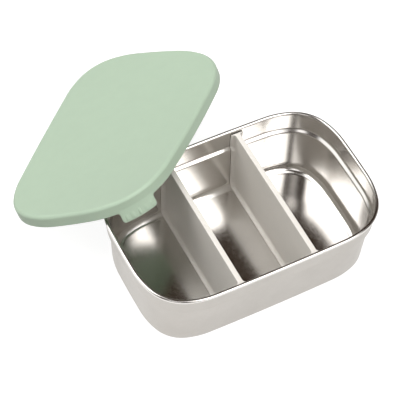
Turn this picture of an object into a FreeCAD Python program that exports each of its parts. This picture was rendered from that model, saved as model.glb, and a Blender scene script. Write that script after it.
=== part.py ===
import FreeCAD, Part
import math
import os

# Bento lunch box: a drawn steel container with a rolled rim, two soft dividers
# that stand across it, and a soft press-on lid that lies off the box, leaning
# on its back left corner.
#
# Millimetres.  +X is the long way of the box, +Y is away from the long front
# side, +Z is up.  The origin is the middle of the container's base.

# ---- driving dimensions -------------------------------------------------
LENGTH = 190.0            # along X, between the middles of the rolled rim
WIDTH = 123.4             # along Y, between the middles of the rolled rim
HEIGHT = 62.8             # base to the top of the rim
CORNER_R = 33.0           # tightest stretch of each corner
BLEND_R = 64.0            # stretch between the corner and the bowed sides
SIDE_ANGLE = 1.2          # degrees that each half of a bowed side turns
CORNER_HALF_ANGLE = 25.5  # degrees of the tightest stretch, each way from 45

SHEET = 0.7               # steel thickness
RIM_R = 1.45              # radius of the rolled rim
RIM_INSET = 0.3           # middle of the roll, in from the outline
LEDGE_DEPTH = 17.3        # rim top to the start of the stacking ledge
LEDGE_DROP = 2.4
LEDGE_STEP = 2.4          # how far the wall steps in over the ledge
WALL_LEAN = 2.1           # how far the lower wall leans in, ledge to base
BASE_R = 7.0              # outside radius where the wall turns into the base
SHOULDER_R = 2.5          # small bends of the ledge
FLOOR_INSET = 24.0        # beyond this the floor is a plain flat sheet

DIVIDER_X = {"divider_left": -31.0, "divider_right": 28.0}
DIVIDER_DROP = 3.0        # rim top to the top of a divider
DIVIDER_GAP = 0.3         # clearance all round to the steel
WEB = 4.0                 # divider thickness
FLANGE_WIDTH = 10.0       # sealing flange, across its two lips
FLANGE = 1.6              # sealing flange thickness
FLANGE_FILLET = 1.8       # where the web runs into the flange

LID_TOP_OUT = 2.65        # lid outline outside the rim outline, at the top
LID_SKIRT_OUT = 2.75      # and at the foot of the skirt
LID_HEIGHT = 9.8
LID_PLATE = 2.2           # thickness of the lid's top
LID_EDGE_R = 2.9
LID_BORE_OUT = 1.5        # inside of the skirt, outside the rim outline
SEAL_IN = 2.2             # the sealing rib fits just inside the steel wall
SEAL_WIDTH = 1.5
SEAL_FOOT = 3.4           # foot of the rib above the foot of the skirt
LID_INSET = 24.0          # beyond this the lid's top is a plain flat sheet
SOFT_EDGE = 0.6           # rounding of the skirt's foot and of its inner corners
SEAL_EDGE = 0.5           # rounding of the sealing rib's foot
SEAL_FILLET = 0.8         # hollow bend beside the sealing rib

TAB_MIDDLE = 220.7        # direction of the tab's middle, seen from its corner's centre
TAB_HALF_ANGLE = 21.9     # half of the tab's sweep round that corner
TAB_OUT = 1.8             # its tip stands out beyond the skirt
TAB_DROP = 8.7            # and hangs below the skirt's foot
TAB_THICK = 1.5
TAB_ROOT = 2.0            # height in the skirt's wall where the tab starts
TAB_SUNK = 0.15           # and how deep it starts, from both faces of that wall
TAB_ROOT_R = 2.4          # hollow corners where its sides meet the skirt's foot
TAB_CORNER_R = 2.4        # free corners of its tip
TAB_EDGE = 0.5            # rounding of its lower edge
TAB_MARGIN = 5.0          # how far the tools that trim its sides reach past it
RIB_COUNT = 5             # plain grip ribs on the tab
RIB_LENGTH = 4.4
RIB_WIDTH = 1.2
RIB_PROUD = 0.5
RIB_BITE = 0.8            # how far a rib runs into the tab
RIB_PLACE = 0.66          # its middle, as a share of the way down the tab's face
RIB_SWEEP = 32.0          # degrees from the first rib to the last

LID_AT = (-45.7, 107.9, 38.1)       # middle of the foot of the lid's skirt
LID_TURN = (44.3, 9.15, -24.9)      # its yaw, pitch and roll in degrees

UP = FreeCAD.Vector(0, 0, 1)


# ---- the outline: tangent arcs, the same family for box and lid ----------
def unit(angle):
    a = math.radians(angle)
    return FreeCAD.Vector(math.cos(a), math.sin(a), 0)


def quarter_arcs():
    """Centre, radius, start and end angle of the arcs of the +X +Y quarter."""
    a1, a4 = SIDE_ANGLE, 90 - SIDE_ANGLE
    a2, a3 = 45 - CORNER_HALF_ANGLE, 45 + CORNER_HALF_ANGLE
    # the end and side radii are what closes the chain of tangent arcs
    chain = ((BLEND_R - CORNER_R) * (unit(a2) - unit(a3))
             + FreeCAD.Vector(LENGTH / 2, 0, 0)
             + BLEND_R * (unit(a4) - unit(a1)))
    px, py = unit(a1).x - 1, unit(a1).y
    qx, qy = -unit(a4).x, 1 - unit(a4).y
    gap_x, gap_y = -chain.x, WIDTH / 2 - chain.y
    det = px * qy - qx * py
    end_r = (gap_x * qy - qx * gap_y) / det
    side_r = (px * gap_y - gap_x * py) / det
    centre = FreeCAD.Vector(LENGTH / 2 - end_r, 0, 0)
    radii = [end_r, BLEND_R, CORNER_R, BLEND_R, side_r]
    angles = [0, a1, a2, a3, a4, 90]
    arcs = []
    for i, radius in enumerate(radii):
        if i:
            centre = centre + (radii[i - 1] - radius) * unit(angles[i])
        arcs.append((centre, radius, angles[i], angles[i + 1]))
    return arcs


def full_arcs():
    """All arcs of the outline, anticlockwise from the middle of the +X end."""
    quarter = quarter_arcs()
    mirrored_x = [(FreeCAD.Vector(-c.x, c.y, 0), r, 180 - e, 180 - s) for c, r, s, e in reversed(quarter)]
    upper = quarter + mirrored_x
    lower = [(FreeCAD.Vector(c.x, -c.y, 0), r, 360 - e, 360 - s) for c, r, s, e in reversed(upper)]
    return upper + lower


ARCS = full_arcs()


def outline_face(inset, z):
    """Flat face inside the outline, moved in by inset, at height z."""
    edges = []
    for centre, radius, start, end in ARCS:
        r = radius - inset
        points = [centre + unit(a) * r for a in (start, (start + end) / 2, end)]
        edges.append(Part.Arc(*[p + UP * z for p in points]).toShape())
    return Part.Face(Part.Wire(edges))


def plate(inset, low, high):
    return outline_face(inset, low).extrude(UP * (high - low))


def sweep(section, arcs=ARCS):
    """Carry a closed section, drawn as (inset, z), round the given arcs."""
    solids = []
    for centre, radius, start, end in arcs:
        out = unit(start)
        turned = [edge_at(edge, centre, radius, out) for edge in section]
        face = Part.Face(Part.Wire(turned))
        solids.append(face.revolve(centre, UP, end - start))
    return solids[0].multiFuse(solids[1:]) if len(solids) > 1 else solids[0]


def edge_at(edge, centre, radius, out):
    """Place one drawn edge, a line of two points or an arc of three."""
    points = [centre + out * (radius - inset) + UP * z for inset, z in edge]
    if len(points) == 2:
        return Part.makeLine(*points)
    return Part.Arc(*points).toShape()


# ---- flat drawing helpers -------------------------------------------------
def rounded(corners):
    """Closed section through (inset, z, radius) corners, as lines and arcs."""
    count = len(corners)
    runs = []
    for i in range(count):
        before, here, after = corners[i - 1], corners[i], corners[(i + 1) % count]
        runs.append(corner_arc(before, here, after))
    edges = []
    for i in range(count):
        if len(runs[i]) == 3:
            edges.append(runs[i])
        start, end = runs[i][-1], runs[(i + 1) % count][0]
        if math.dist(start, end) > 1e-6:
            edges.append((start, end))
    return edges


def corner_arc(before, here, after):
    """Start, middle and end of the arc that rounds a corner, or its point."""
    if not here[2]:
        return (here[:2],)
    ax, ay = before[0] - here[0], before[1] - here[1]
    bx, by = after[0] - here[0], after[1] - here[1]
    la, lb = math.hypot(ax, ay), math.hypot(bx, by)
    ax, ay, bx, by = ax / la, ay / la, bx / lb, by / lb
    half = math.acos(ax * bx + ay * by) / 2
    reach = here[2] / math.tan(half)
    mx, my = ax + bx, ay + by
    lm = math.hypot(mx, my)
    to_middle = here[2] / math.sin(half) - here[2]
    return ((here[0] + ax * reach, here[1] + ay * reach),
            (here[0] + mx / lm * to_middle, here[1] + my / lm * to_middle),
            (here[0] + bx * reach, here[1] + by * reach))


def shifted(points, distance):
    """Move an open chain of (inset, z, radius) to its left by distance."""
    normals = []
    for a, b in zip(points[:-1], points[1:]):
        dx, dy = b[0] - a[0], b[1] - a[1]
        length = math.hypot(dx, dy)
        normals.append((-dy / length, dx / length))
    moved = []
    for i, (x, y, r) in enumerate(points):
        n1, n2 = normals[max(i - 1, 0)], normals[min(i, len(normals) - 1)]
        scale = distance / (1 + n1[0] * n2[0] + n1[1] * n2[1])
        turn = n1[0] * n2[1] - n1[1] * n2[0]
        new_r = r - math.copysign(distance, turn) if r else 0
        moved.append((x + (n1[0] + n2[0]) * scale, y + (n1[1] + n2[1]) * scale, new_r))
    return moved


# ---- container ----------------------------------------------------------------
WALL_IN = RIM_INSET + RIM_R         # steel's inner face, in from the outline
ROLL_Z = HEIGHT - RIM_R             # middle of the roll


def inner_chain():
    """Inner face of the steel, from under the roll down to the flat floor."""
    ledge_low = HEIGHT - LEDGE_DEPTH - LEDGE_DROP
    foot = WALL_IN + LEDGE_STEP + WALL_LEAN
    return [(WALL_IN, ROLL_Z, 0),
            (WALL_IN, HEIGHT - LEDGE_DEPTH, SHOULDER_R),
            (WALL_IN + LEDGE_STEP, ledge_low, SHOULDER_R),
            (foot, SHEET, BASE_R - SHEET),
            (FLOOR_INSET, SHEET, 0)]


def container():
    inner = inner_chain()
    outer = shifted(inner, -SHEET)
    under_roll = math.sqrt(RIM_R ** 2 - (outer[0][0] - RIM_INSET) ** 2)
    outer[0] = (outer[0][0], ROLL_Z - under_roll, 0)
    section = rounded(inner + outer[::-1])
    # the closing line at the top of the wall gives way to the rolled rim
    top_line = (outer[0][:2], inner[0][:2])
    section.remove(top_line)
    half_turn = math.sqrt(0.5) * RIM_R
    section.append((outer[0][:2], (RIM_INSET - RIM_R, ROLL_Z), (RIM_INSET - half_turn, ROLL_Z + half_turn)))
    section.append((section[-1][-1], (RIM_INSET, HEIGHT), inner[0][:2]))
    floor = plate(FLOOR_INSET, 0, SHEET)
    return sweep(section).fuse(floor).removeSplitter()


# ---- dividers -------------------------------------------------------------------
def divider_face(gap, x):
    """Upright face across the box at x, gap away from the steel all round."""
    side_r = ARCS[4][1]
    half = WIDTH / 2 - x * x / (2 * side_r)
    chain = shifted(inner_chain(), gap)
    chain[0] = (chain[0][0], HEIGHT - DIVIDER_DROP, 0)
    chain = [c for c in chain if c[0] < FLOOR_INSET]
    right = [(half - inset, z, r) for inset, z, r in chain]
    left = [(-y, z, r) for y, z, r in right[::-1]]
    edges = []
    for edge in rounded(right + left):
        points = [FreeCAD.Vector(x, y, z) for y, z in edge]
        edges.append(Part.makeLine(*points) if len(points) == 2 else Part.Arc(*points).toShape())
    return Part.Face(Part.Wire(edges))


def divider(x):
    outside = divider_face(DIVIDER_GAP, x)
    inside = divider_face(DIVIDER_GAP + FLANGE, x)
    along = FreeCAD.Vector(1, 0, 0)
    start = along * (-FLANGE_WIDTH / 2)
    flange = outside.translated(start).extrude(along * FLANGE_WIDTH)
    hollow = inside.translated(start).extrude(along * FLANGE_WIDTH)
    web = outside.translated(along * (-WEB / 2)).extrude(along * WEB)
    solid = flange.cut(hollow).fuse(web).removeSplitter()
    roots = [e for e in solid.Edges if is_root(e, inside, x)]
    return solid.makeFillet(FLANGE_FILLET, roots)


def is_root(edge, inside, x):
    """True for the edges where the web's faces meet the flange."""
    middle = edge.valueAt((edge.FirstParameter + edge.LastParameter) / 2)
    if abs(abs(middle.x - x) - WEB / 2) > 1e-3 or middle.z > HEIGHT - DIVIDER_DROP - 1e-3:
        return False
    flat = Part.Vertex(FreeCAD.Vector(x, middle.y, middle.z))
    return inside.OuterWire.distToShape(flat)[0] < 1e-3


# ---- lid --------------------------------------------------------------------------
def lid_section():
    """Skirt, sealing rib and rim of the lid's top, drawn closed."""
    under = LID_HEIGHT - LID_PLATE
    seal_out = SEAL_IN + SEAL_WIDTH
    return rounded([(-LID_SKIRT_OUT, 0, SOFT_EDGE),
                    (-LID_TOP_OUT, LID_HEIGHT, LID_EDGE_R),
                    (LID_INSET, LID_HEIGHT, 0),
                    (LID_INSET, under, 0),
                    (seal_out, under, SEAL_FILLET),
                    (seal_out, SEAL_FOOT, SEAL_EDGE),
                    (SEAL_IN, SEAL_FOOT, SEAL_EDGE),
                    (SEAL_IN, under, SOFT_EDGE),
                    (-LID_BORE_OUT, under, SOFT_EDGE),
                    (-LID_BORE_OUT, 0, SOFT_EDGE)])


def tab():
    """Pull tab: a tongue that hangs from one corner's skirt, with plain grip ribs."""
    centre, radius = [(c, r) for c, r, s, e in ARCS if s < TAB_MIDDLE < e][0]
    tip = -LID_SKIRT_OUT - TAB_OUT
    section = rounded([(-LID_BORE_OUT - TAB_SUNK, TAB_ROOT, 0),
                       (tip + TAB_THICK, -TAB_DROP, TAB_EDGE),
                       (tip, -TAB_DROP, TAB_EDGE),
                       (-LID_SKIRT_OUT + TAB_SUNK, TAB_ROOT, 0)])
    reach = TAB_HALF_ANGLE + math.degrees(TAB_MARGIN / radius)
    tongue = sweep(section, [(centre, radius, TAB_MIDDLE - reach, TAB_MIDDLE + reach)])
    for side in (-1, 1):
        tongue = tongue.cut(side_waste(side, centre, radius))
    for i in range(RIB_COUNT):
        angle = TAB_MIDDLE + RIB_SWEEP * (i / (RIB_COUNT - 1) - 0.5)
        tongue = tongue.fuse(grip_rib(centre, radius, angle))
    return tongue


def side_waste(side, centre, radius):
    """What lies beyond one side of the tab, cut square to the skirt."""
    far, top, low = -2 * TAB_MARGIN, TAB_ROOT + TAB_MARGIN, -TAB_DROP - TAB_MARGIN
    root, corner, bend = TAB_ROOT_R, TAB_CORNER_R, math.sqrt(0.5)

    def place(along, z):
        return FreeCAD.Vector(radius, -side * along, z)

    path = [place(0, -root), place(0, corner - TAB_DROP)]
    corner_middle = place(corner * (1 - bend), corner * (1 - bend) - TAB_DROP)
    around = [place(corner, -TAB_DROP), place(corner, low), place(far, low), place(far, top),
              place(-root, top), place(-root, 0)]
    root_middle = place(root * (bend - 1), root * (bend - 1))
    edges = [Part.makeLine(*path), Part.Arc(path[1], corner_middle, around[0]).toShape()]
    edges += [Part.makeLine(a, b) for a, b in zip(around[:-1], around[1:])]
    edges.append(Part.Arc(around[-1], root_middle, path[0]).toShape())
    waste = Part.Face(Part.Wire(edges)).extrude(FreeCAD.Vector(2 * TAB_MARGIN, 0, 0))
    waste.rotate(FreeCAD.Vector(0, 0, 0), UP, TAB_MIDDLE + side * TAB_HALF_ANGLE)
    return waste.translated(centre)


def grip_rib(centre, radius, angle):
    """One plain bar down the tab's outer face."""
    bar = Part.makeBox(RIB_LENGTH, RIB_WIDTH, RIB_PROUD + RIB_BITE)
    bar.translate(FreeCAD.Vector(-RIB_LENGTH / 2, -RIB_WIDTH / 2, -RIB_BITE))
    out, drop = TAB_OUT + TAB_SUNK, TAB_ROOT + TAB_DROP
    bar.rotate(FreeCAD.Vector(0, 0, 0), FreeCAD.Vector(0, 1, 0), math.degrees(math.atan2(drop, out)))
    reach = radius + LID_SKIRT_OUT - TAB_SUNK + out * RIB_PLACE
    bar.translate(FreeCAD.Vector(reach, 0, TAB_ROOT - drop * RIB_PLACE))
    bar.rotate(FreeCAD.Vector(0, 0, 0), UP, angle)
    return bar.translated(centre)


def lid():
    top = plate(LID_INSET, LID_HEIGHT - LID_PLATE, LID_HEIGHT)
    solid = sweep(lid_section()).fuse(top).removeSplitter().fuse(tab())
    solid.Placement = FreeCAD.Placement(FreeCAD.Vector(*LID_AT), FreeCAD.Rotation(*LID_TURN))
    return solid


# ---- the nodes ----------------------------------------------------------------------
def nodes():
    shapes = {"container": container(), "lid": lid()}
    for name, x in DIVIDER_X.items():
        shapes[name] = divider(x)
    return shapes


def main():
    os.makedirs("parts", exist_ok=True)
    for name, shape in nodes().items():
        box = shape.BoundBox
        print(name, "valid", shape.isValid(), "solids", len(shape.Solids), "volume", round(shape.Volume),
              "box", [round(v, 1) for v in (box.XMin, box.YMin, box.ZMin, box.XMax, box.YMax, box.ZMax)])
        shape.exportStep("parts/" + name + ".step")


if __name__ == "__main__":
    main()
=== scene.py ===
import math

import bmesh
import bpy
import numpy as np
from mathutils import Euler, Matrix, Vector


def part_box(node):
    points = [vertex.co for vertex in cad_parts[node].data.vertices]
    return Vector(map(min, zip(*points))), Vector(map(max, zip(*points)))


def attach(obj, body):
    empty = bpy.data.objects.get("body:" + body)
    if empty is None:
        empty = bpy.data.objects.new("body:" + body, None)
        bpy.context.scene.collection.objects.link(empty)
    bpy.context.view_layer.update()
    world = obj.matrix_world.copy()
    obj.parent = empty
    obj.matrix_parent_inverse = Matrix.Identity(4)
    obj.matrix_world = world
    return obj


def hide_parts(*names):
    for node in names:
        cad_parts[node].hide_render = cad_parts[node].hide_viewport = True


# Bento lunch box: a drawn steel container with a rolled rim, two soft dividers
# that stand across it, and a soft press-on lid that lies off the box, leaning
# on its back left corner.
#
# The drawing functions work in millimetres, and MM turns them into metres when
# a mesh is made.  A section is drawn as (inset, z): inset is the way in from
# the outline, square to it, and z is up.

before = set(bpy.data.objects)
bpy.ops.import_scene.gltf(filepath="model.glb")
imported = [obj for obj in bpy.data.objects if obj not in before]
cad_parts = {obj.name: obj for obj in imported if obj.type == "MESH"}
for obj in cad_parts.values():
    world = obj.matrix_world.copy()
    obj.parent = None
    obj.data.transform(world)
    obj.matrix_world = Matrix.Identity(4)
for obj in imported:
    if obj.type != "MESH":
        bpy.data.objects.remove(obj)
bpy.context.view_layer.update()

MM = 0.001

# ---- sizes ------------------------------------------------------------------
RIM_R = 1.45              # radius of the rolled rim
RIM_INSET = 0.3           # middle of the roll, in from the outline
RIM_REACH = RIM_R - RIM_INSET

CONTAINER_LOW, CONTAINER_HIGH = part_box("container")
HEIGHT = CONTAINER_HIGH.z / MM
LENGTH = (CONTAINER_HIGH.x - CONTAINER_LOW.x) / MM - 2 * RIM_REACH
WIDTH = (CONTAINER_HIGH.y - CONTAINER_LOW.y) / MM - 2 * RIM_REACH

CORNER_R = 33.0           # tightest stretch of each corner
BLEND_R = 64.0            # stretch between the corner and the bowed sides
SIDE_ANGLE = 1.2          # degrees that each half of a bowed side turns
CORNER_HALF_ANGLE = 25.5  # degrees of the tightest stretch, each way from 45

SHEET = 0.7               # steel thickness
ROLL_POINTS = 30          # round the rolled rim
LEDGE_DEPTH = 17.3        # rim top to the start of the stacking ledge
LEDGE_DROP = 2.4
LEDGE_STEP = 2.4
WALL_LEAN = 2.1           # how far the lower wall leans in, ledge to base
BASE_R = 7.0              # outside radius where the wall turns into the base
SHOULDER_R = 1.5          # small bends of the ledge
FLOOR_INSET = 24.0        # beyond this the floor is flat

DIVIDER_DROP = 3.0        # rim top to the top of a divider
DIVIDER_GAP = 0.3         # clearance all round to the steel
WEB = 4.0                 # divider thickness
FLANGE_WIDTH = 10.0       # sealing flange, across its two lips
FLANGE = 1.6              # sealing flange thickness
FLANGE_FILLET = 2.4       # where the web runs into the flange
WEB_START = 1.6           # fillets above the flange where the web's flat face starts
FLANGE_THICK = 0.8        # the flange tapers from this share of FLANGE at the web
FLANGE_THIN = 0.35        # to this share at the edge of each lip
DIVIDER_EDGE = 0.55       # rounding of the divider's top edge
FACE_WEIGHT = 80          # of large faces in its shading, where 50 is even
DIVIDER_SHARP = 50        # degrees between faces from which its edges stay sharp
TOP_EDGE_TURNS = (90, 68, 45, 22)       # degrees round that edge, from its top down
EVEN_OUT = 5.0            # length over which its skin follows a bend in the steel
OVER_FLOOR = 0.1          # a row this near its lowest one stands on the floor

LID_TOP_OUT = 2.65        # lid outline outside the rim outline, at the top
LID_SKIRT_OUT = 2.75      # and at the foot of the skirt
LID_HEIGHT = 9.8
LID_PLATE = 2.2           # thickness of the lid's top
LID_EDGE_R = 2.9
LID_BORE_OUT = 1.5        # inside of the skirt
LID_FOOT_R = 0.55         # rounding of the skirt's foot
SEAL_IN = 2.2             # sealing rib under the lid
SEAL_WIDTH = 1.5
SEAL_FOOT = 3.4
SEAL_EDGE = 0.5           # rounding of the sealing rib's foot
SEAL_FILLET = 0.8         # hollow bend beside it
BORE_EDGE = 0.6           # hollow bends under the lid's top
BORE_Z = 3.0              # the bore is plain above this height
TAB_BORE_Z = 1.0          # where the tab's inner face meets the bore
LID_INSET = 24.0

TAB_CORNER = 225.0        # direction of the lid's tab corner, in degrees
TAB_ASIDE = -2.7          # the tab's middle from there, along the foot of the skirt
TAB_WIDTH = 27.3          # along the foot of the skirt
TAB_MARGIN = 5.0          # plain skirt beside it that has its fine points too
TAB_TAPER = 0.3           # each side slants this much either way of its middle
TAB_ROOT_R = 2.4          # hollow corners where its sides meet the skirt
TAB_OUT = 1.8             # its tip stands out beyond the skirt
TAB_DROP = 8.7            # and hangs below the skirt's foot
TAB_THICK = 1.5
TAB_CORNER_R = 2.4        # free corners of its tip
TAB_ROOT = 2.0            # height on the skirt where it starts
TAB_ROOT_BEND = 6.0       # gentle bend there
TAB_EDGE = 0.6            # rounding of its lower edge
TAB_GAP = 0.5             # degrees kept free between its points and the outline's
RIB_COUNT = 5             # plain grip ribs on the tab
RIB_LENGTH = 4.4
RIB_WIDTH = 1.3
RIB_PROUD = 0.6
RIB_SPREAD = 20.0         # from the first rib to the last
RIB_EDGE = 0.4            # rounding of a rib's sides
RIB_PLACE = 0.66          # its middle, as a share of the way down the tab

LID_AT = Vector((-45.3, 107.6, 36.9))    # middle of the foot of the lid's skirt
LID_TURN = (44.7, 10.3, -26.0)           # its yaw, pitch and roll in degrees
# how the soft lid sags, leaning on one side: heights at its ends, sides and corners
SAG_ENDS = 1.53
SAG_SIDES = 0.43
SAG_TWIST = 4.13
SAG_END_TILT = -1.5
SAG_SIDE_TILT = -2.6

DIVIDER_COLOUR = (0.74, 0.715, 0.67)
DIVIDER_ROUGH = 0.5
LID_COLOUR = (0.425, 0.545, 0.42)
LID_ROUGH = 0.55
POLISHED_STEEL = ((0.70, 0.68, 0.655), (0.75, 0.73, 0.705))      # darkest and lightest
SATIN_STEEL = ((0.475, 0.452, 0.422), (0.515, 0.492, 0.462))
MOTTLE = 0.012            # how far the silicone's colour varies, each way
GRAIN = 0.06              # and its roughness

CAMERA_AT = (-0.35833, -0.55918, 0.99938)
CAMERA_AZIMUTH = -30.287
CAMERA_ELEVATION = 54.784
CAMERA_ROLL = -3.706
CAMERA_LENS = 141.87

# soft lights seen in the steel: azimuth from +Y towards +X, elevation, reach,
# soft edge, strength.  The dark patches take their strength away again, and
# stand for the darker parts of the photographer's room.
SOFT_LIGHTS = [(158, 47, 14, 11, 3.4),
               (160, 22, 15, 14, 1.3),
               (-60, 52, 13, 11, 3.2),
               (-66, 25, 15, 14, 1.3),
               (-20, 66, 8, 8, 2.4),
               (115, 75, 9, 8, 2.2),
               (-137, 46, 7, 8, 1.6)]
DARK_PATCHES = [(35, 40, 22, 20, 0.12),
                (-105, 60, 16, 12, 0.11),
                (118, 48, 14, 12, 0.1)]
LIGHT_COLOUR = (1.0, 0.995, 0.985)
ROOM_COLOUR = (0.15, 0.135, 0.125)
FILL_POWER = 13.0         # large soft light over the box, on its matte parts only
FILL_SIZE = 1.6
FILL_AT = (-0.1, 0.45, 1.7)
FLOOR_GLOW = 0.9          # keeps the floor white under the lid
FLOOR_GREY = 0.25         # and what the floor adds by reflecting light
FLOOR_HALF = 4            # metres from its middle to its edges
HORIZON = 0.05            # the ground's colour turns into the room's within this much of
                          # level, as the height of a direction of length 1
CLIP_END = 20             # metres that the camera sees
GROUND_COLOUR = (0.28, 0.265, 0.255)    # light that comes up to the matte parts


# ---- the outline: tangent arcs, the same family for box and lid -----------------
def unit(angle):
    a = math.radians(angle)
    return np.array([math.cos(a), math.sin(a)])


def quarter_arcs():
    """Centre, radius, start and end angle of the arcs of the +X +Y quarter."""
    a1, a4 = SIDE_ANGLE, 90 - SIDE_ANGLE
    a2, a3 = 45 - CORNER_HALF_ANGLE, 45 + CORNER_HALF_ANGLE
    # the end and side radii are what closes the chain of tangent arcs
    chain = (BLEND_R - CORNER_R) * (unit(a2) - unit(a3)) + BLEND_R * (unit(a4) - unit(a1))
    chain = chain + [LENGTH / 2, 0]
    slopes = np.column_stack([unit(a1) - [1, 0], [0, 1] - unit(a4)])
    end_r, side_r = np.linalg.solve(slopes, [0, WIDTH / 2] - chain)
    centre = np.array([LENGTH / 2 - end_r, 0])
    radii = [end_r, BLEND_R, CORNER_R, BLEND_R, side_r]
    angles = [0, a1, a2, a3, a4, 90]
    arcs = []
    for i, radius in enumerate(radii):
        if i:
            centre = centre + (radii[i - 1] - radius) * unit(angles[i])
        arcs.append((centre, radius, angles[i], angles[i + 1]))
    return arcs


def full_arcs():
    """All arcs of the outline, anticlockwise from the middle of the +X end."""
    quarter = quarter_arcs()
    upper = quarter + [(c * [-1, 1], r, 180 - e, 180 - s) for c, r, s, e in reversed(quarter)]
    return upper + [(c * [1, -1], r, 360 - e, 360 - s) for c, r, s, e in reversed(upper)]


ARCS = full_arcs()
SIDE_R = ARCS[4][1]
MIDDLE_SHARES = (0.12, 0.35, 0.6, 0.8, 0.93, 0.985)     # rings across a flat middle
FINE = 1.4                # the meshes' points round the outline, for each 2 degrees


def outline_angles(fine):
    """Directions of the outline's points: close together round the corners."""
    angles = []
    for centre, radius, start, end in ARCS:
        steps = max(8, round((end - start) * fine / 2))
        angles.extend(np.linspace(start, end, steps, endpoint=False))
    return np.array(angles)


def outline_places(angles):
    """Centre and radius of the outline's arc at each direction."""
    ends = np.array([arc[3] for arc in ARCS])
    which = np.minimum(np.searchsorted(ends, angles, side="right"), len(ARCS) - 1)
    centres = np.array([arc[0] for arc in ARCS])[which]
    radii = np.array([arc[1] for arc in ARCS])[which]
    return centres, radii


def ring(angles, inset, z):
    """Points of the outline moved in by inset, at height z; both may vary."""
    centres, radii = outline_places(angles)
    a = np.radians(angles)
    reach = radii - inset
    x = centres[:, 0] + np.cos(a) * reach
    y = centres[:, 1] + np.sin(a) * reach
    return np.column_stack([x, y, np.broadcast_to(z, x.shape)])


# ---- flat drawing helpers ----------------------------------------------------
def arc_run(before, here, after, step):
    """Points of the arc that rounds a corner (x, y, radius)."""
    p, q, r = (np.array(c[:2], float) for c in (before, here, after))
    if not here[2]:
        return [q]
    to_p, to_r = (p - q) / np.linalg.norm(p - q), (r - q) / np.linalg.norm(r - q)
    half = math.acos(np.clip(to_p @ to_r, -1, 1)) / 2
    start = q + to_p * here[2] / math.tan(half)
    middle = q + (to_p + to_r) / np.linalg.norm(to_p + to_r) * here[2] / math.sin(half)
    sweep = math.pi - 2 * half
    side = math.copysign(1, to_p[0] * to_r[1] - to_p[1] * to_r[0])
    first = start - middle
    count = max(2, math.ceil(math.degrees(sweep) / step))
    turns = np.linspace(0, -side * sweep, count + 1)
    return [middle + [first[0] * math.cos(t) - first[1] * math.sin(t),
                      first[0] * math.sin(t) + first[1] * math.cos(t)] for t in turns]


def rounded(corners, step=9.0, longest=4.0, support=0.5):
    """Open path through (x, y, radius) corners. Straight runs get points close
    to their ends, so that shading stays flat along them."""
    runs = []
    for i, here in enumerate(corners):
        if 0 < i < len(corners) - 1:
            runs.append(arc_run(corners[i - 1], here, corners[i + 1], step))
        else:
            runs.append([np.array(here[:2], float)])
    points = list(runs[0])
    for run in runs[1:]:
        gap = np.linalg.norm(run[0] - points[-1])
        if gap > 4 * support:
            near = support / gap
            inner = np.linspace(near, 1 - near, max(2, math.ceil(gap / longest)))
            points.extend(points[-1] * (1 - t) + run[0] * t for t in inner)
        points.extend(run)
    return np.array(drop_repeats(points))


def drop_repeats(points):
    """The points without those that lie on the one before."""
    kept = [points[0]]
    for p in points[1:]:
        if np.linalg.norm(p - kept[-1]) > 1e-4:
            kept.append(p)
    return kept


def shifted(points, distance):
    """Move an open chain of (x, y, radius) to its left by distance."""
    normals = []
    for a, b in zip(points[:-1], points[1:]):
        dx, dy = b[0] - a[0], b[1] - a[1]
        length = math.hypot(dx, dy)
        normals.append((-dy / length, dx / length))
    moved = []
    for i, (x, y, r) in enumerate(points):
        n1, n2 = normals[max(i - 1, 0)], normals[min(i, len(normals) - 1)]
        scale = distance / (1 + n1[0] * n2[0] + n1[1] * n2[1])
        turn = n1[0] * n2[1] - n1[1] * n2[0]
        new_r = r - math.copysign(distance, turn) if r else 0
        moved.append((x + (n1[0] + n2[0]) * scale, y + (n1[1] + n2[1]) * scale, new_r))
    return moved


def lengths_along(path):
    steps = np.linalg.norm(np.diff(path, axis=0), axis=1)
    return np.concatenate([[0], np.cumsum(steps)])


# ---- meshes --------------------------------------------------------------------
def new_object(name, bm, placement=Matrix.Identity(4)):
    bmesh.ops.recalc_face_normals(bm, faces=bm.faces)
    mesh = bpy.data.meshes.new(name)
    bm.to_mesh(mesh)
    bm.free()
    mesh.transform(placement)
    mesh.shade_smooth()
    piece = bpy.data.objects.new(name, mesh)
    bpy.context.scene.collection.objects.link(piece)
    return piece


def closed_shell(rings, materials):
    """Mesh through rings of points, closed by a fan at the first and the last.
    materials gives each gap between rings its material number."""
    bm = bmesh.new()
    loops = [[bm.verts.new(p * MM) for p in points] for points in rings]
    count = len(loops[0])
    for a, b, material in zip(loops[:-1], loops[1:], materials):
        for i in range(count):
            j = (i + 1) % count
            bm.faces.new((a[i], a[j], b[j], b[i])).material_index = material
    for loop, material in ((loops[0], materials[0]), (loops[-1], materials[-1])):
        middle = bm.verts.new(sum((v.co for v in loop), Vector()) / count)
        for i in range(count):
            bm.faces.new((middle, loop[i], loop[(i + 1) % count])).material_index = material
    return bm


def flat_middle(angles, inset, z):
    """Rings that carry a flat sheet from its middle out towards inset."""
    edge = ring(angles, inset, z)
    return [edge * [t, t, 1] for t in MIDDLE_SHARES]


# ---- container ----------------------------------------------------------------------
WALL_IN = RIM_INSET + RIM_R         # steel's inner face, in from the outline
ROLL_Z = HEIGHT - RIM_R             # middle of the roll


def inner_chain():
    """Inner face of the steel, from under the roll down to the flat floor."""
    foot = WALL_IN + LEDGE_STEP + WALL_LEAN
    return [(WALL_IN, ROLL_Z, 0),
            (WALL_IN, HEIGHT - LEDGE_DEPTH, SHOULDER_R),
            (WALL_IN + LEDGE_STEP, HEIGHT - LEDGE_DEPTH - LEDGE_DROP, SHOULDER_R),
            (foot, SHEET, BASE_R - SHEET),
            (FLOOR_INSET, SHEET, 0)]


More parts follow.
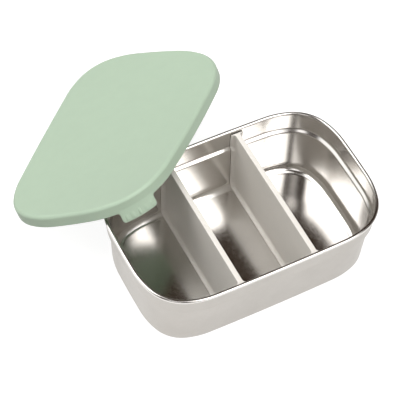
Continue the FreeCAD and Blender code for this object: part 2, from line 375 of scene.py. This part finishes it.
def build_container():
    inner = inner_chain()
    outer = shifted(inner, -SHEET)
    under_roll = math.acos((outer[0][0] - RIM_INSET) / RIM_R)
    outer[0] = (outer[0][0], ROLL_Z - RIM_R * math.sin(under_roll), 0)
    roll = [(RIM_INSET + RIM_R * math.cos(t), ROLL_Z + RIM_R * math.sin(t))
            for t in np.linspace(0, 2 * math.pi - under_roll, ROLL_POINTS)]
    inside = list(rounded(inner)[::-1]) + roll[1:]
    outside = list(rounded(outer))[1:]
    angles = outline_angles(FINE)
    middle_in = flat_middle(angles, FLOOR_INSET, SHEET)
    middle_out = flat_middle(angles, FLOOR_INSET, 0)
    rings = middle_in + [ring(angles, x, z) for x, z in inside + outside] + middle_out[::-1]
    polished = len(middle_in) + len(inside) - 1
    materials = [0] * polished + [1] * (len(rings) - 1 - polished)
    piece = new_object("steel_container", closed_shell(rings, materials))
    piece.data.materials.append(steel_material("steel_polished", polished=True))
    piece.data.materials.append(steel_material("steel_satin", polished=False))
    return piece


# ---- dividers ---------------------------------------------------------------------
def divider_path(x):
    """The wall and floor as a divider meets them: (y, z) from rim to rim."""
    half = WIDTH / 2 - x * x / (2 * SIDE_R)
    chain = [c for c in shifted(inner_chain(), DIVIDER_GAP) if c[0] < FLOOR_INSET]
    chain[0] = (chain[0][0], HEIGHT - DIVIDER_DROP - DIVIDER_EDGE, 0)
    right = [(half - inset, z, r) for inset, z, r in chain]
    left = [(-y, z, r) for y, z, r in right[::-1]]
    return rounded(right + left, step=7.5, longest=3.0, support=1.2)


def divider_section():
    """From the web's face round the flange to the web's other face, as
    (across, depth), where depth is measured in from the steel."""
    side = rounded([(WEB / 2, FLANGE + FLANGE_FILLET * WEB_START, 0),
                    (WEB / 2, FLANGE * FLANGE_THICK, FLANGE_FILLET),
                    (FLANGE_WIDTH / 2, FLANGE * FLANGE_THIN, 0)], step=12, support=0.3)
    lip = [(FLANGE_WIDTH / 2, 0.0)]
    right = [tuple(p) for p in side] + lip
    return right + [(-across, depth) for across, depth in right[::-1]]


def divider_rows(x):
    """Rings of the divider's skin, from its top at one wall to its top at the other."""
    path = divider_path(x)
    section = divider_section()
    # the way in from the steel, evened out so that the skin doesn't fold at the ledge
    along = np.gradient(path, axis=0)
    inward = np.column_stack([along[:, 1], -along[:, 0]])
    lengths = lengths_along(path)
    near = np.exp(-((lengths[:, None] - lengths) / EVEN_OUT) ** 2)
    inward = near @ inward
    inward /= np.linalg.norm(inward, axis=1)[:, None]
    if inward[0, 0] > 0:
        inward = -inward
    inward[0], inward[-1] = (-1, 0), (1, 0)
    full = [(p, n, section) for p, n in zip(path, inward)]
    # the rounded top edge: the section shrinks as it rises
    first, last = [], []
    for t in np.radians(TOP_EDGE_TURNS):
        chain = [(across, depth, 0) for across, depth in section]
        small = [c[:2] for c in shifted(chain, -DIVIDER_EDGE * (1 - math.cos(t)))]
        rise = np.array([0, DIVIDER_EDGE * math.sin(t)])
        first.append((path[0] + rise, inward[0], small))
        last.append((path[-1] + rise, inward[-1], small))
    rows = []
    for p, n, outline in first + full + last[::-1]:
        places = [p + n * depth for across, depth in outline]
        rows.append([np.array([x + across, y, z])
                     for (across, depth), (y, z) in zip(outline, places)])
    return rows


def build_divider(node, name):
    low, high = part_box(node)
    rows = divider_rows((low.x + high.x) / 2 / MM)
    bm = bmesh.new()
    grid = [[bm.verts.new(p * MM) for p in row] for row in rows]
    for a, b in zip(grid[:-1], grid[1:]):
        for j in range(len(a) - 1):
            bm.faces.new((a[j], a[j + 1], b[j + 1], b[j]))
    # the web's two faces: strips from wall to wall, down to the last one over the floor
    heights = np.array([row[0][2] for row in rows])
    strips = min(int(np.argmax(heights < heights.min() + OVER_FLOOR)), len(rows) // 2) - 1
    for face in (0, -1):
        column = [row[face] for row in grid]
        for i in range(strips):
            bm.faces.new((column[i], column[i + 1], column[-2 - i], column[-1 - i]))
        bm.faces.new(column[strips:len(column) - strips])
    # its top: both ends of the flange, and the web's edge between them
    bm.faces.new(grid[0])
    bm.faces.new(grid[-1])
    bm.faces.new((grid[0][0], grid[0][-1], grid[-1][-1], grid[-1][0]))
    piece = new_object(name, bm)
    piece.data.set_sharp_from_angle(angle=math.radians(DIVIDER_SHARP))
    even = piece.modifiers.new("even", "WEIGHTED_NORMAL")
    even.weight = FACE_WEIGHT
    even.keep_sharp = True
    graph = bpy.context.evaluated_depsgraph_get()
    shape = bpy.data.meshes.new_from_object(piece.evaluated_get(graph))
    piece.modifiers.clear()
    piece.data = shape
    shape.materials.append(silicone_material("divider_silicone", DIVIDER_COLOUR, DIVIDER_ROUGH))
    return piece


# ---- lid -----------------------------------------------------------------------------
def share_at(path, point):
    """How far along the path, as a share of its length, it is nearest to point."""
    lengths = lengths_along(path)
    nearest = np.argmin(np.linalg.norm(path - np.array(point), axis=1))
    return lengths[nearest] / lengths[-1]


def at_shares(path, shares):
    lengths = lengths_along(path)
    places = np.array(shares) * lengths[-1]
    return np.column_stack([np.interp(places, lengths, path[:, k]) for k in (0, 1)])


UNDER = LID_HEIGHT - LID_PLATE
WALL_TOP_GAP = 0.6
WALL_TOP_Z = LID_HEIGHT - LID_EDGE_R - WALL_TOP_GAP      # the tab changes nothing above it
FOOT_MARK_Z = 0.1                               # just above the skirt's foot
TAB_TIP = np.array([-LID_SKIRT_OUT - TAB_OUT, -TAB_DROP])
FACE = TAB_TIP - [-LID_SKIRT_OUT, TAB_ROOT]     # down the tab's outer face
FACE_LENGTH = np.linalg.norm(FACE)
FACE_NORMAL = np.array([FACE[1], -FACE[0]]) / FACE_LENGTH


def wall_inset(z):
    return -LID_SKIRT_OUT + (LID_SKIRT_OUT - LID_TOP_OUT) * z / LID_HEIGHT


def skirt_sections():
    """The skirt's lower part, plain and with the tab, with matching points."""
    top = (wall_inset(WALL_TOP_Z), WALL_TOP_Z, 0)
    bore = (-LID_BORE_OUT, BORE_Z, 0)
    plain = rounded([top, (-LID_SKIRT_OUT, 0, LID_FOOT_R), (-LID_BORE_OUT, 0, LID_FOOT_R), bore],
                    longest=0.2, support=0.1)
    root = (wall_inset(TAB_ROOT), TAB_ROOT, TAB_ROOT_BEND)
    inner_tip = TAB_TIP + [TAB_THICK, 0]
    inner_root = (-LID_BORE_OUT, TAB_BORE_Z, TAB_ROOT_BEND)
    tabbed = rounded([top, root, (*TAB_TIP, TAB_EDGE), (*inner_tip, TAB_EDGE), inner_root, bore],
                     step=6, longest=0.3, support=0.1)
    # the tab's root and its two lower corners match the skirt's root and foot
    marks_tabbed = [share_at(tabbed, p) for p in (root[:2], TAB_TIP, inner_tip)]
    foot = [(-LID_SKIRT_OUT, FOOT_MARK_Z), (-LID_BORE_OUT, FOOT_MARK_Z)]
    marks_plain = [share_at(plain, p) for p in (root[:2], *foot)]
    lengths = lengths_along(tabbed)
    shares = np.interp(lengths / lengths[-1], [0, *marks_tabbed, 1], [0, *marks_plain, 1])
    return at_shares(plain, shares), tabbed


def skirt_direction(run):
    """Direction in degrees of a run, in mm, along the skirt's foot from the tab's corner."""
    tight, wide = CORNER_R + LID_SKIRT_OUT, BLEND_R + LID_SKIRT_OUT
    tight_run = math.radians(CORNER_HALF_ANGLE) * tight
    beyond = np.maximum(np.abs(run) - tight_run, 0)
    turn = np.minimum(np.abs(run), tight_run) / tight + beyond / wide
    return TAB_CORNER + np.sign(run) * np.degrees(turn)


def tab_profile():
    """Runs across the tab and how much of the tab stands there, 0 to 1."""
    half, reach = TAB_WIDTH / 2, TAB_DROP
    side = rounded([(-half - TAB_MARGIN, 0, 0),
                    (-half - TAB_TAPER, 0, TAB_ROOT_R),
                    (-half + TAB_TAPER, reach, TAB_CORNER_R),
                    (0, reach, 0)], step=6, longest=0.25, support=0.1)
    run, share = side[:, 0], side[:, 1] / reach
    return np.concatenate([run, -run[-2::-1]]), np.concatenate([share, share[-2::-1]])


def soft_box(x, half, edge):
    """1 within half of the middle, 0 beyond, with smooth sides as wide as edge."""
    t = np.clip((half + edge / 2 - np.abs(x)) / edge, 0, 1)
    return t * t * (3 - 2 * t)


def rib_heights(runs, places):
    """How proud the grip ribs stand: runs across the tab, places down its face."""
    down = soft_box(places, RIB_LENGTH / 2, RIB_EDGE)
    across = np.zeros_like(runs)
    for middle in np.linspace(-RIB_SPREAD / 2, RIB_SPREAD / 2, RIB_COUNT):
        across = np.maximum(across, soft_box(runs - middle, RIB_WIDTH / 2, RIB_EDGE))
    return RIB_PROUD * np.outer(down, across)


def sagged(points):
    """The lid's points, in its own frame, moved as the soft lid sags."""
    x, y = points[:, 0] / (LENGTH / 2), points[:, 1] / (WIDTH / 2)
    ends, sides = x * x - 1 / 3, y * y - 1 / 3
    rise = (SAG_ENDS * ends + SAG_SIDES * sides + SAG_TWIST * x * y
            + SAG_END_TILT * ends * y + SAG_SIDE_TILT * x * sides)
    return points + np.outer(rise, [0, 0, 1])


def build_lid():
    runs, tab_share = tab_profile()
    tab_angles = skirt_direction(runs + TAB_ASIDE)
    plain_angles = outline_angles(FINE)
    before, after = tab_angles[0] - TAB_GAP, tab_angles[-1] + TAB_GAP
    outside_tab = (plain_angles < before) | (plain_angles > after)
    away = np.full(outside_tab.sum(), TAB_WIDTH)
    angles = np.concatenate([plain_angles[outside_tab], tab_angles])
    order = np.argsort(angles)
    angles = angles[order]
    share = np.concatenate([away * 0, tab_share])[order]
    runs = np.concatenate([away, runs])[order]

    plain, tabbed = skirt_sections()
    places = (tabbed - TAB_TIP + FACE * (1 - RIB_PLACE)) @ FACE / FACE_LENGTH
    outer_face = (tabbed - TAB_TIP) @ FACE_NORMAL > -TAB_THICK / 2
    ribs = rib_heights(runs, places) * outer_face[:, None] * share

    top = rounded([(LID_INSET, LID_HEIGHT, 0), (-LID_TOP_OUT, LID_HEIGHT, LID_EDGE_R),
                   (wall_inset(WALL_TOP_Z), WALL_TOP_Z, 0)], step=6)
    below = rounded([(-LID_BORE_OUT, BORE_Z, 0),
                     (-LID_BORE_OUT, UNDER, BORE_EDGE),
                     (SEAL_IN, UNDER, BORE_EDGE),
                     (SEAL_IN, SEAL_FOOT, SEAL_EDGE),
                     (SEAL_IN + SEAL_WIDTH, SEAL_FOOT, SEAL_EDGE),
                     (SEAL_IN + SEAL_WIDTH, UNDER, SEAL_FILLET),
                     (LID_INSET, UNDER, 0)], step=15)
    rings = flat_middle(angles, LID_INSET, LID_HEIGHT)
    rings += [ring(angles, x, z) for x, z in top]
    for (x0, z0), (x1, z1), proud in list(zip(plain, tabbed, ribs))[1:-1]:
        inset = x0 + (x1 - x0) * share + proud * FACE_NORMAL[0]
        z = z0 + (z1 - z0) * share + proud * FACE_NORMAL[1]
        rings.append(ring(angles, inset, z))
    rings += [ring(angles, x, z) for x, z in below]
    rings += flat_middle(angles, LID_INSET, UNDER)[::-1]
    rings = [sagged(points) for points in rings]

    yaw, pitch, roll = (math.radians(a) for a in LID_TURN)
    placement = Matrix.Translation(LID_AT * MM) @ Euler((roll, pitch, yaw)).to_matrix().to_4x4()
    piece = new_object("silicone_lid", closed_shell(rings, [0] * (len(rings) - 1)), placement)
    piece.data.materials.append(silicone_material("lid_silicone", LID_COLOUR, LID_ROUGH))
    return piece


# ---- materials ---------------------------------------------------------------------
EVEN = (1, 1, 1)                        # noise that isn't drawn out
POLISHED_DRAW = (1, 1, 14)              # streaks round the steel, thin in height
SATIN_DRAW = (1, 1, 9)
NOISE_LOW, NOISE_HIGH = 0.3, 0.7        # most of a noise's values lie between


def new_material(name):
    material = bpy.data.materials.new(name)
    material.use_nodes = True
    tree = material.node_tree
    return material, tree, tree.nodes["Principled BSDF"]


def add(tree, kind, **values):
    node = tree.nodes.new("ShaderNode" + kind)
    for key, value in values.items():
        setattr(node, key, value)
    return node


def stretched_noise(tree, stretch, scale, detail=3.0, rough=0.6):
    """Noise on the piece's own coordinates, squeezed along each axis by stretch."""
    place = add(tree, "TexCoord")
    scaled = add(tree, "Mapping")
    scaled.inputs["Scale"].default_value = stretch
    noise = add(tree, "TexNoise")
    noise.inputs["Scale"].default_value = scale
    noise.inputs["Detail"].default_value = detail
    noise.inputs["Roughness"].default_value = rough
    tree.links.new(place.outputs["Object"], scaled.inputs["Vector"])
    tree.links.new(scaled.outputs["Vector"], noise.inputs["Vector"])
    return noise.outputs["Fac"]


def ramp(tree, value, low, high):
    """Colour or grey from low to high as value goes over a noise's range."""
    node = add(tree, "ValToRGB")
    node.color_ramp.elements[0].position = NOISE_LOW
    node.color_ramp.elements[1].position = NOISE_HIGH
    node.color_ramp.elements[0].color = (*low, 1)
    node.color_ramp.elements[1].color = (*high, 1)
    tree.links.new(value, node.inputs["Fac"])
    return node.outputs["Color"]


def bump(tree, value, strength, distance, before=None):
    """Relief of distance millimetres, on top of the relief before."""
    node = add(tree, "Bump")
    node.inputs["Strength"].default_value = strength
    node.inputs["Distance"].default_value = distance * MM
    tree.links.new(value, node.inputs["Height"])
    if before:
        tree.links.new(before, node.inputs["Normal"])
    return node.outputs["Normal"]


def grey(value):
    return (value, value, value)


def steel_material(name, polished):
    material, tree, shader = new_material(name)
    shader.inputs["Metallic"].default_value = 1.0
    streaks = stretched_noise(tree, POLISHED_DRAW if polished else SATIN_DRAW, scale=420)
    patches = stretched_noise(tree, EVEN, scale=38)
    waves = stretched_noise(tree, EVEN, scale=16, detail=1.0)
    if polished:
        colour = ramp(tree, patches, *POLISHED_STEEL)
        finish = ramp(tree, streaks, grey(0.14), grey(0.20))
        relief = bump(tree, streaks, strength=0.05, distance=0.02)
        relief = bump(tree, waves, strength=0.4, distance=0.4, before=relief)
    else:
        colour = ramp(tree, patches, *SATIN_STEEL)
        finish = ramp(tree, streaks, grey(0.34), grey(0.46))
        relief = bump(tree, streaks, strength=0.25, distance=0.03)
        relief = bump(tree, waves, strength=0.3, distance=0.3, before=relief)
    tree.links.new(colour, shader.inputs["Base Color"])
    tree.links.new(finish, shader.inputs["Roughness"])
    tree.links.new(relief, shader.inputs["Normal"])
    return material


def silicone_material(name, colour, roughness):
    material, tree, shader = new_material(name)
    colour = np.array(colour)
    mottle = stretched_noise(tree, EVEN, scale=90)
    grain = stretched_noise(tree, EVEN, scale=2600, detail=2.0)
    soft = stretched_noise(tree, EVEN, scale=22, detail=1.0)
    tint = ramp(tree, mottle, tuple(colour * (1 - MOTTLE)), tuple(colour * (1 + MOTTLE)))
    finish = ramp(tree, grain, grey(roughness - GRAIN), grey(roughness + GRAIN))
    tree.links.new(tint, shader.inputs["Base Color"])
    tree.links.new(finish, shader.inputs["Roughness"])
    relief = bump(tree, grain, strength=0.25, distance=0.03)
    relief = bump(tree, soft, strength=0.03, distance=0.2, before=relief)
    tree.links.new(relief, shader.inputs["Normal"])
    shader.inputs["Specular IOR Level"].default_value = 0.35
    shader.inputs["Sheen Weight"].default_value = 0.12
    shader.inputs["Sheen Roughness"].default_value = 0.5
    return material


# ---- studio ------------------------------------------------------------------------
def camera_axes():
    """The camera's right, up and back directions."""
    azimuth = math.radians(CAMERA_AZIMUTH)
    elevation = math.radians(CAMERA_ELEVATION)
    roll = math.radians(CAMERA_ROLL)
    back = Vector((math.sin(azimuth) * math.cos(elevation),
                   -math.cos(azimuth) * math.cos(elevation),
                   math.sin(elevation)))
    right = Vector((0, 0, 1)).cross(back).normalized()
    up = back.cross(right)
    return (right * math.cos(roll) - up * math.sin(roll),
            right * math.sin(roll) + up * math.cos(roll),
            back)


def add_camera():
    data = bpy.data.cameras.new("camera")
    data.lens = CAMERA_LENS
    data.sensor_width = 36
    data.clip_end = CLIP_END
    camera = bpy.data.objects.new("camera", data)
    bpy.context.scene.collection.objects.link(camera)
    turn = Matrix(camera_axes()).transposed().to_4x4()
    camera.matrix_world = Matrix.Translation(CAMERA_AT) @ turn
    bpy.context.scene.camera = camera


def add_floor():
    bm = bmesh.new()
    bmesh.ops.create_grid(bm, x_segments=2, y_segments=2, size=FLOOR_HALF)
    floor = new_object("floor", bm)
    material, tree, shader = new_material("floor_white")
    shader.inputs["Base Color"].default_value = (*grey(FLOOR_GREY), 1)
    shader.inputs["Emission Color"].default_value = (1, 1, 1, 1)
    shader.inputs["Emission Strength"].default_value = FLOOR_GLOW
    shader.inputs["Roughness"].default_value = 0.9
    floor.data.materials.append(material)
    floor.visible_diffuse = False


def soft_patch(tree, direction, azimuth, elevation, reach, edge, strength):
    """A soft round patch of the world: its strength where direction faces it."""
    a, e = math.radians(azimuth), math.radians(elevation)
    facing = add(tree, "VectorMath", operation="DOT_PRODUCT")
    towards = (math.sin(a) * math.cos(e), math.cos(a) * math.cos(e), math.sin(e))
    facing.inputs[1].default_value = towards
    spread = add(tree, "MapRange", interpolation_type="SMOOTHSTEP")
    spread.inputs["From Min"].default_value = math.cos(math.radians(reach + edge))
    spread.inputs["From Max"].default_value = math.cos(math.radians(reach))
    spread.inputs["To Max"].default_value = strength
    tree.links.new(direction, facing.inputs[0])
    tree.links.new(facing.outputs["Value"], spread.inputs["Value"])
    return spread.outputs["Result"]


def add_world():
    """A dim room with soft lights and dark patches, and paler ground below it."""
    world = bpy.data.worlds.new("studio")
    world.use_nodes = True
    bpy.context.scene.world = world
    tree = world.node_tree
    direction = add(tree, "TexCoord").outputs["Generated"]
    brightest = None
    for patch in SOFT_LIGHTS:
        light = soft_patch(tree, direction, *patch)
        if brightest:
            both = add(tree, "Math", operation="MAXIMUM")
            tree.links.new(brightest, both.inputs[0])
            tree.links.new(light, both.inputs[1])
            light = both.outputs["Value"]
        brightest = light
    up = add(tree, "SeparateXYZ")
    horizon = add(tree, "MapRange")
    horizon.inputs["From Min"].default_value = -HORIZON
    horizon.inputs["From Max"].default_value = HORIZON
    around = add(tree, "Mix", data_type="VECTOR")
    around.inputs["A"].default_value = GROUND_COLOUR
    around.inputs["B"].default_value = ROOM_COLOUR
    tree.links.new(direction, up.inputs[0])
    tree.links.new(up.outputs["Z"], horizon.inputs["Value"])
    tree.links.new(horizon.outputs["Result"], around.inputs["Factor"])
    for patch in DARK_PATCHES:
        dark = soft_patch(tree, direction, *patch)
        less = add(tree, "Math", operation="SUBTRACT")
        tree.links.new(brightest, less.inputs[0])
        tree.links.new(dark, less.inputs[1])
        brightest = less.outputs["Value"]
    colour = add(tree, "VectorMath", operation="MULTIPLY_ADD")
    colour.inputs[1].default_value = LIGHT_COLOUR
    tree.links.new(around.outputs["Result"], colour.inputs[2])
    tree.links.new(brightest, colour.inputs[0])
    tree.links.new(colour.outputs["Vector"], tree.nodes["Background"].inputs["Color"])


def add_fill():
    data = bpy.data.lights.new("fill", "AREA")
    data.energy = FILL_POWER
    data.size = FILL_SIZE
    fill = bpy.data.objects.new("fill", data)
    bpy.context.scene.collection.objects.link(fill)
    # it faces the origin
    turn = Vector(FILL_AT).to_track_quat("Z", "Y").to_matrix().to_4x4()
    fill.matrix_world = Matrix.Translation(FILL_AT) @ turn
    fill.visible_glossy = False


# ---- the pieces -------------------------------------------------------------------
def place_piece(piece, body, node):
    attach(piece, body)
    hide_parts(node)


place_piece(build_container(), "box", "container")
place_piece(build_divider("divider_left", "left_divider_web"),
            "left_divider", "divider_left")
place_piece(build_divider("divider_right", "right_divider_web"),
            "right_divider", "divider_right")
place_piece(build_lid(), "lid", "lid")

add_camera()
add_floor()
add_world()
add_fill()
bpy.context.scene.view_settings.view_transform = "Standard"
